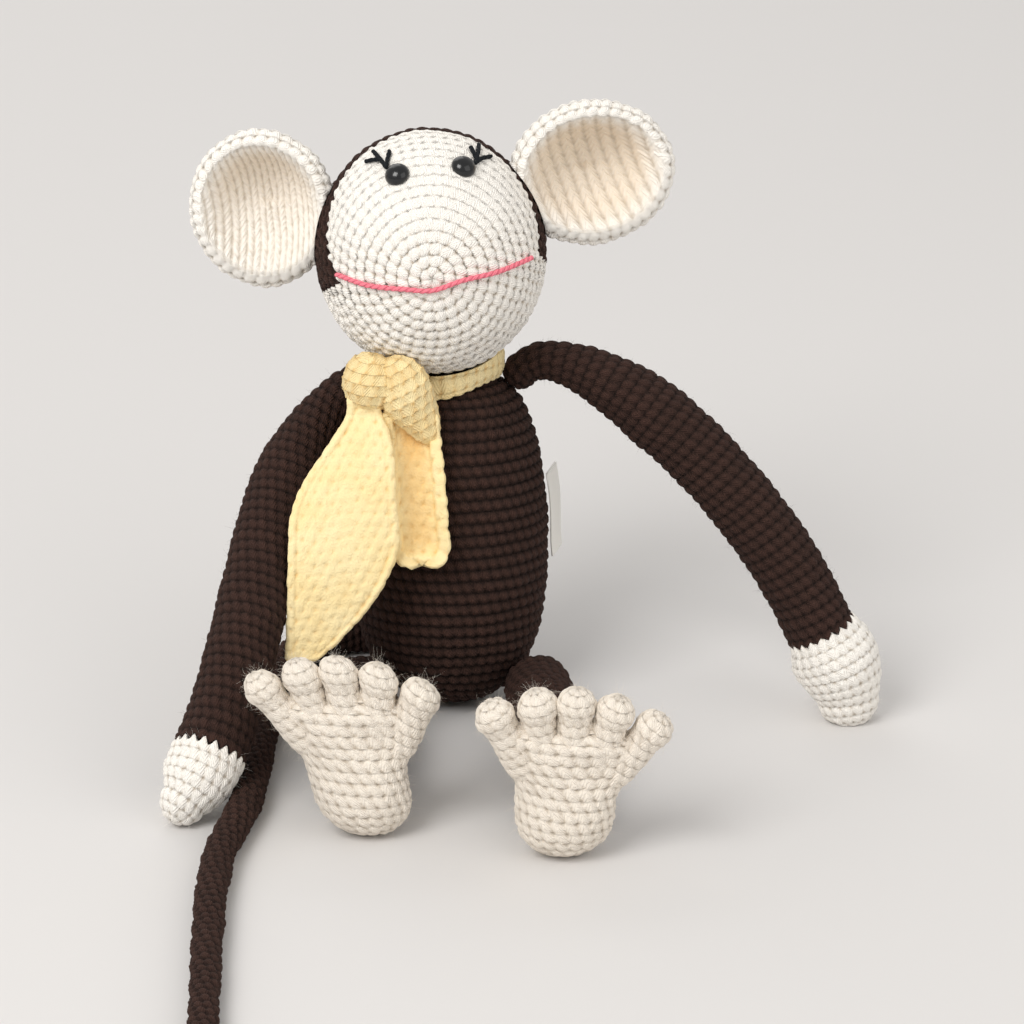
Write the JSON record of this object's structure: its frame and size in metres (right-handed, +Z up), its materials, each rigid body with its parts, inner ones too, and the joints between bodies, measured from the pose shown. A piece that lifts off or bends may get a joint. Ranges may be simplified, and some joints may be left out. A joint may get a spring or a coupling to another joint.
{
  "type": "stuffed toy monkey",
  "caption": "Sitting crochet monkey with a round cream face, large cupped ears, long arms, ball-toed feet, a long tail and a tied yellow scarf.",
  "frame": {"origin": "middle of the pressed seat, on the surface that the monkey sits on", "axes": "+Z up, the monkey faces -Y, its left side is +X"},
  "size_m": [0.2432, 0.3214, 0.2152],
  "materials": {
    "brown_yarn": "matt dark brown cotton yarn in single crochet",
    "cream_yarn": "matt cream cotton yarn in single crochet",
    "yellow_yarn": "matt pale yellow cotton yarn in single crochet",
    "pink_yarn": "pink embroidery yarn",
    "black_yarn": "black embroidery yarn",
    "fibre_fill": "white polyester fibre fill",
    "ribbon": "woven off-white ribbon",
    "eye_plastic": "polished black",
    "washer_plastic": "moulded pale grey"
  },
  "bodies": {
    "torso": {"body_shell": "brown_yarn", "body_stuffing": "fibre_fill", "scarf_band": "yellow_yarn", "scarf_knot": "yellow_yarn"},
    "head": {"face_shell": "cream_yarn", "head_back_shell": "brown_yarn", "head_stuffing": "fibre_fill", "eye_left": "eye_plastic", "eye_right": "eye_plastic", "eye_washer_left": "washer_plastic", "eye_washer_right": "washer_plastic", "lashes_left": "black_yarn", "lashes_right": "black_yarn", "mouth_strand": "pink_yarn"},
    "left_ear": {"ear_left": "cream_yarn"},
    "right_ear": {"ear_right": "cream_yarn"},
    "left_upper_arm": {"upper_arm_left": "brown_yarn", "upper_arm_stuffing_left": "fibre_fill"},
    "right_upper_arm": {"upper_arm_right": "brown_yarn", "upper_arm_stuffing_right": "fibre_fill"},
    "left_forearm": {"forearm_left": "brown_yarn", "hand_left": "cream_yarn", "forearm_stuffing_left": "fibre_fill"},
    "right_forearm": {"forearm_right": "brown_yarn", "hand_right": "cream_yarn", "forearm_stuffing_right": "fibre_fill"},
    "left_leg": {"leg_left": "brown_yarn", "leg_stuffing_left": "fibre_fill"},
    "right_leg": {"leg_right": "brown_yarn", "leg_stuffing_right": "fibre_fill"},
    "left_foot": {"foot_left": "cream_yarn"},
    "right_foot": {"foot_right": "cream_yarn"},
    "tail_root": {"tail_base": "brown_yarn"},
    "tail_mid": {"tail_middle": "brown_yarn"},
    "tail_end": {"tail_tip": "brown_yarn"},
    "long_scarf_end": {"scarf_long_end": "yellow_yarn"},
    "short_scarf_end": {"scarf_short_end": "yellow_yarn"},
    "label": {"side_label": "ribbon"}
  },
  "joints": [
    {"name": "neck_turn", "type": "hinge", "parent": "torso", "child": "head", "pos_m": [0, 0.01133, 0.12223], "axis": [-0.1395, -0.1226, 0.9826], "range_deg": [-40, 40], "stiffness_Nm_per_rad": 0.05},
    {"name": "left_ear_flex", "type": "hinge", "parent": "head", "child": "left_ear", "pos_m": [0.02689, 0.01227, 0.1878], "axis": [-0.1073, 0.0922, 0.9899], "range_deg": [-8, 8], "stiffness_Nm_per_rad": 0.02},
    {"name": "right_ear_flex", "type": "hinge", "parent": "head", "child": "right_ear", "pos_m": [-0.04322, 0.00984, 0.18062], "axis": [-0.1073, 0.0922, 0.9899], "range_deg": [-8, 8], "stiffness_Nm_per_rad": 0.02},
    {"name": "left_shoulder_raise", "type": "hinge", "parent": "torso", "child": "left_upper_arm", "pos_m": [0.0252, 0.01072, 0.11792], "axis": [0, -1, 0], "range_deg": [0, 35]},
    {"name": "right_shoulder_raise", "type": "hinge", "parent": "torso", "child": "right_upper_arm", "pos_m": [-0.0252, 0.01072, 0.11792], "axis": [0, 1, 0], "range_deg": [0, 35]},
    {"name": "left_elbow_bend", "type": "hinge", "parent": "left_upper_arm", "child": "left_forearm", "pos_m": [0.09251, -0.00944, 0.09023], "axis": [0, -1, 0], "range_deg": [0, 28]},
    {"name": "right_elbow_bend", "type": "hinge", "parent": "right_upper_arm", "child": "right_forearm", "pos_m": [-0.06008, -0.03892, 0.06726], "axis": [-0.944, 0.33, 0], "range_deg": [0, 28]},
    {"name": "left_hip_lift", "type": "hinge", "parent": "torso", "child": "left_leg", "pos_m": [0.03141, -0.02712, 0.0126], "axis": [-1, 0, 0], "range_deg": [0, 35]},
    {"name": "right_hip_lift", "type": "hinge", "parent": "torso", "child": "right_leg", "pos_m": [-0.03141, -0.02712, 0.0126], "axis": [-1, 0, 0], "range_deg": [0, 16]},
    {"name": "left_ankle_turn", "type": "hinge", "parent": "left_leg", "child": "left_foot", "pos_m": [0.0381, -0.11676, 0.0136], "axis": [-0.0745, 0.9972, -0.0111], "range_deg": [-8, 22], "stiffness_Nm_per_rad": 0.03},
    {"name": "right_ankle_turn", "type": "hinge", "parent": "right_leg", "child": "right_foot", "pos_m": [-0.0254, -0.10246, 0.0136], "axis": [0.0795, -0.9967, 0.0132], "range_deg": [-8, 22], "stiffness_Nm_per_rad": 0.03},
    {"name": "tail_swing", "type": "hinge", "parent": "torso", "child": "tail_root", "pos_m": [-0.01014, 0.02658, 0.0066], "axis": [0, 0, 1], "range_deg": [0, 5], "stiffness_Nm_per_rad": 0.02},
    {"name": "tail_middle_bend", "type": "hinge", "parent": "tail_root", "child": "tail_mid", "pos_m": [-0.06507, -0.05045, 0.00612], "axis": [0, 0, -1], "range_deg": [-10, 0], "stiffness_Nm_per_rad": 0.01},
    {"name": "tail_tip_bend", "type": "hinge", "parent": "tail_mid", "child": "tail_end", "pos_m": [-0.07488, -0.15985, 0.00532], "axis": [0, 0, 1], "range_deg": [-26, 26], "stiffness_Nm_per_rad": 0.01},
    {"name": "long_scarf_lift", "type": "hinge", "parent": "torso", "child": "long_scarf_end", "pos_m": [-0.0285, -0.02736, 0.114], "axis": [-1, 0, 0], "range_deg": [0, 50]},
    {"name": "short_scarf_lift", "type": "hinge", "parent": "torso", "child": "short_scarf_end", "pos_m": [-0.0101, -0.02346, 0.1061], "axis": [-1, 0, 0], "range_deg": [0, 50]},
    {"name": "label_flap", "type": "hinge", "parent": "torso", "child": "label", "pos_m": [0.03426, 0.01027, 0.08148], "axis": [0, -1, 0], "range_deg": [0, 50]}
  ]
}
